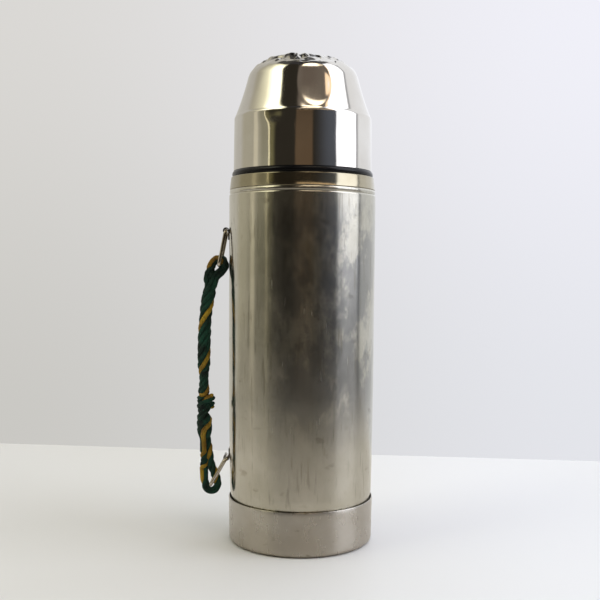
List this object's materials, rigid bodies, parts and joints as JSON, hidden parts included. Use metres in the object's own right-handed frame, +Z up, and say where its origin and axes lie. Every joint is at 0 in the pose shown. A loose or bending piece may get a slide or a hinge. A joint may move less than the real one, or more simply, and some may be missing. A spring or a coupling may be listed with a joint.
{
  "type": "insulated water bottle",
  "caption": "Vacuum flask with a polished metal screw-on cup, worn steel case, screw-on base and a carrying handle of twisted cord between wire rings.",
  "frame": {"origin": "centre of the flat foot of the base, on the floor", "axes": "+Z up the flask's axis to the cup, -X towards the cord handle"},
  "size_m": [0.1152, 0.0946, 0.3112],
  "materials": {
    "case_steel": "satin, worn",
    "cup_steel": "polished, dented",
    "collar_metal": "dull, tarnished",
    "base_steel": "satin, worn",
    "black_plastic": "glossy",
    "cup_plastic": "satin",
    "glass": "silvered",
    "rubber": "matte",
    "foam": "matte",
    "felt": "matte",
    "cork": "matte",
    "wire_steel": "satin",
    "cord": "woven, green and mustard"
  },
  "bodies": {
    "flask": {"outer_case": "case_steel", "shoulder_collar": "collar_metal", "neck_collar": "black_plastic", "neck_gasket": "rubber", "inner_glass": "glass", "outer_glass": "glass", "glass_spacers": "felt", "centring_ring": "foam", "base_thread_ring": "cup_plastic", "upper_lug": "wire_steel", "lower_lug": "wire_steel"},
    "cup_seal": {"cup_washer": "rubber"},
    "cup": {"cup_shell": "cup_steel", "cup_thread_ring": "cup_plastic"},
    "stopper": {"stopper_cork": "cork", "stopper_knob": "black_plastic", "stopper_pin": "wire_steel", "stopper_foot": "wire_steel"},
    "base_seat": {"base_cushion": "rubber"},
    "base": {"base_cap": "base_steel", "base_cap_thread": "cup_plastic"},
    "ring_above": {"upper_ring": "wire_steel"},
    "ring_below": {"lower_ring": "wire_steel"},
    "cord": {"cord_stem": "cord", "cord_upper_eye": "cord", "cord_lower_eye": "cord", "cord_ends": "cord"}
  },
  "joints": [
    {"name": "cup_rise", "type": "slide", "parent": "flask", "child": "cup_seal", "axis": [0, 0, 1], "range_m": [0, 0.03]},
    {"name": "cup_turn", "type": "hinge", "parent": "cup_seal", "child": "cup", "pos_m": [0, 0, 0.25], "axis": [0, 0, 1], "range_deg": [0, 2150]},
    {"name": "stopper_lift", "type": "slide", "parent": "flask", "child": "stopper", "axis": [0, 0, 1], "range_m": [0, 0.038]},
    {"name": "base_drop", "type": "slide", "parent": "flask", "child": "base_seat", "axis": [0, 0, -1], "range_m": [0, 0.021]},
    {"name": "base_turn", "type": "hinge", "parent": "base_seat", "child": "base", "pos_m": [0, 0, 0.014], "axis": [0, 0, -1], "range_deg": [0, 1885]},
    {"name": "upper_ring_swing", "type": "hinge", "parent": "flask", "child": "ring_above", "pos_m": [-0.04925, 0, 0.2008], "axis": [0, 1, 0], "range_deg": [0, 75]},
    {"name": "cord_swing", "type": "hinge", "parent": "ring_above", "child": "cord", "pos_m": [-0.05364, 0, 0.17822], "axis": [0, 1, 0], "range_deg": [-78.7, 0]},
    {"name": "lower_ring_swing", "type": "hinge", "parent": "flask", "child": "ring_below", "pos_m": [-0.04845, 0, 0.0528], "axis": [0, 1, 0], "range_deg": [0, 65.9]}
  ],
  "couplings": [
    {"joint": "cup_rise", "follows": "cup_turn", "m_per_rad": 0.00079577},
    {"joint": "base_drop", "follows": "base_turn", "m_per_rad": 0.00063662},
    {"joint": "cord_swing", "follows": "upper_ring_swing", "ratio": -1.0477},
    {"joint": "lower_ring_swing", "follows": "upper_ring_swing", "ratio": 0.87835}
  ]
}
